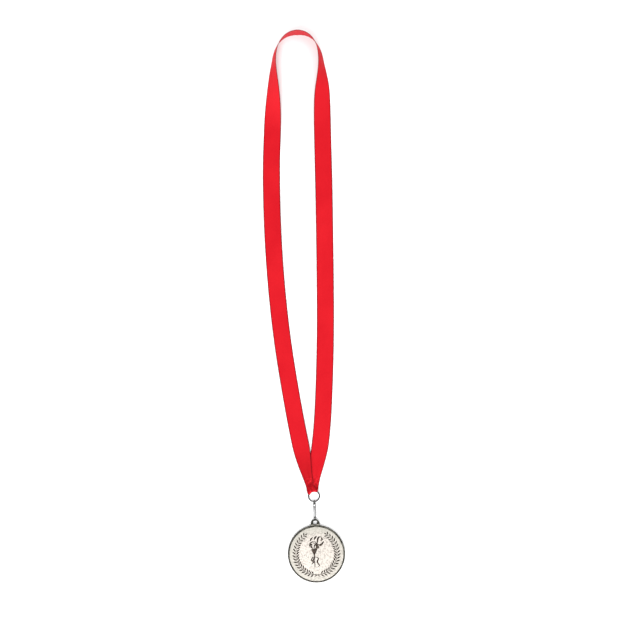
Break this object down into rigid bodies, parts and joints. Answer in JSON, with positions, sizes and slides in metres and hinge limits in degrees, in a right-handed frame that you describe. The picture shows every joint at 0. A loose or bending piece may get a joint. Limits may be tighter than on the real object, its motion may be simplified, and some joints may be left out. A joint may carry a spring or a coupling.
{
  "type": "sports finisher medal",
  "caption": "Round medal with a raised rim, laurel wreath and torch, on a snap clip, a ring and a narrow neck ribbon.",
  "frame": {"origin": "centre of the medal's round back face, which lies on the table", "axes": "+Z out of the medal's front face, upwards as it lies; +Y from the medal past its bail, clip and ring and up the ribbon's loop; +X to the right as the front is read"},
  "size_m": [0.0627, 0.4798, 0.0152],
  "materials": {
    "medal_metal": "silver-coloured plating over cast metal: sandblasted fields, antiqued relief and polished rim",
    "ring_steel": "dark nickel-plated steel wire",
    "clip_steel": "satin nickel-plated steel strip",
    "spring_steel": "bright spring steel",
    "ribbon_fabric": "red woven polyester ribbon with fine cross ribs",
    "thread": "red sewing thread"
  },
  "bodies": {
    "ribbon": {"neck_ribbon": "ribbon_fabric", "ribbon_stitching": "thread"},
    "ring": {"ribbon_ring": "ring_steel"},
    "clip": {"clip_hook": "clip_steel", "clip_rivet": "clip_steel"},
    "gate": {"clip_gate": "spring_steel"},
    "medal": {"medal_disc": "medal_metal"}
  },
  "joints": [
    {"name": "ring_turn", "type": "hinge", "parent": "ribbon", "child": "ring", "pos_m": [0, 0.0506, 0.00135], "axis": [0, 0, 1], "range_deg": [-90, 90]},
    {"name": "clip_fold", "type": "hinge", "parent": "ring", "child": "clip", "pos_m": [0, 0.0458, 0.00135], "axis": [-1, 0, 0], "range_deg": [0, 90]},
    {"name": "medal_fold", "type": "hinge", "parent": "clip", "child": "medal", "pos_m": [0, 0.02985, 0.00135], "axis": [-1, 0, 0], "range_deg": [0, 90]},
    {"name": "gate_press", "type": "hinge", "parent": "clip", "child": "gate", "pos_m": [0, 0.0428, 0.00153], "axis": [-1, 0, 0], "range_deg": [0, 6], "stiffness_Nm_per_rad": 0.02, "springref_deg": -5.73}
  ]
}
